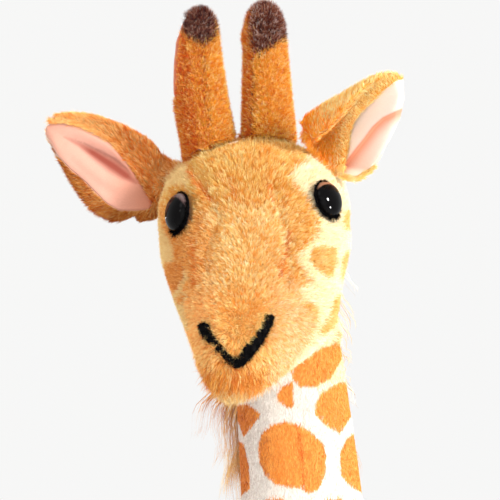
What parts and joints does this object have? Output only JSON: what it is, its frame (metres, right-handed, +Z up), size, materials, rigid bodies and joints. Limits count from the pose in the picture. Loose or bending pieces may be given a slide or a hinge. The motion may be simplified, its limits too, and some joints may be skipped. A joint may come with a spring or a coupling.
{
  "type": "plush giraffe",
  "caption": "Standing stuffed toy giraffe with a wire-framed neck and legs, patched short pile, dark-tipped horns, glossy eyes and a stitched mouth.",
  "frame": {"origin": "centre of the toy's bounding box, on the floor under its hooves", "axes": "+Z up through the neck and horns, -Y the way the toy faces, +X the toy's own left"},
  "size_m": [0.2226, 0.4948, 0.8994],
  "materials": {
    "white_plush": "short cream pile, printed with orange patches",
    "orange_plush": "short orange pile",
    "pink_plush": "short pale pink pile",
    "brown_plush": "short dark brown pile",
    "sole_cloth": "flat brown woven cloth",
    "mane": "long blond pile",
    "black_felt": "black felt",
    "black_yarn": "black yarn",
    "filling": "loose polyester fibre",
    "black_eye": "polished",
    "washer": "plain",
    "wire": "plain drawn wire"
  },
  "bodies": {
    "torso": {"body_filling": "filling", "body_skin": "white_plush", "front_left_hoof": "brown_plush", "front_left_leg_filling": "filling", "front_left_leg_skin": "white_plush", "front_left_sole": "sole_cloth", "front_leg_wire": "wire", "front_right_hoof": "brown_plush", "front_right_leg_filling": "filling", "front_right_leg_skin": "white_plush", "front_right_sole": "sole_cloth", "rear_left_hoof": "brown_plush", "rear_left_leg_filling": "filling", "rear_left_leg_skin": "white_plush", "rear_left_sole": "sole_cloth", "rear_leg_wire": "wire", "rear_right_hoof": "brown_plush", "rear_right_leg_filling": "filling", "rear_right_leg_skin": "white_plush", "rear_right_sole": "sole_cloth", "spine_wire": "wire"},
    "neck": {"neck_filling": "filling", "neck_mane": "mane", "neck_skin": "white_plush", "neck_wire": "wire"},
    "head": {"head_crest": "mane", "head_filling": "filling", "head_skin": "orange_plush", "left_eye": "black_eye", "left_eye_felt": "black_felt", "left_eye_washer": "washer", "left_horn": "orange_plush", "left_horn_tip": "brown_plush", "mouth_yarn": "black_yarn", "right_eye": "black_eye", "right_eye_felt": "black_felt", "right_eye_washer": "washer", "right_horn": "orange_plush", "right_horn_tip": "brown_plush"},
    "left_ear": {"left_ear": "orange_plush", "left_ear_lining": "pink_plush"},
    "right_ear": {"right_ear": "orange_plush", "right_ear_lining": "pink_plush"},
    "tail": {"tail": "white_plush", "tail_tuft": "brown_plush"}
  },
  "joints": [
    {"name": "neck_bend", "type": "hinge", "parent": "torso", "child": "neck", "pos_m": [0.024, -0.07153, 0.452], "axis": [1, 0, 0], "range_deg": [-8, 8]},
    {"name": "head_turn", "type": "hinge", "parent": "neck", "child": "head", "pos_m": [0.0035, -0.11653, 0.758], "axis": [-0.1314, -0.1442, 0.9808], "range_deg": [-25, 25]},
    {"name": "left_ear_turn", "type": "hinge", "parent": "head", "child": "left_ear", "pos_m": [0.02308, -0.15455, 0.82642], "axis": [-0.6428, 0, 0.766], "range_deg": [-20, 20]},
    {"name": "right_ear_turn", "type": "hinge", "parent": "head", "child": "right_ear", "pos_m": [-0.05478, -0.13426, 0.80754], "axis": [0.4772, 0, 0.8788], "range_deg": [-20, 20]},
    {"name": "tail_swing", "type": "hinge", "parent": "torso", "child": "tail", "pos_m": [0.02404, 0.17971, 0.4041], "axis": [0, 1, 0], "range_deg": [-40, 40]}
  ]
}
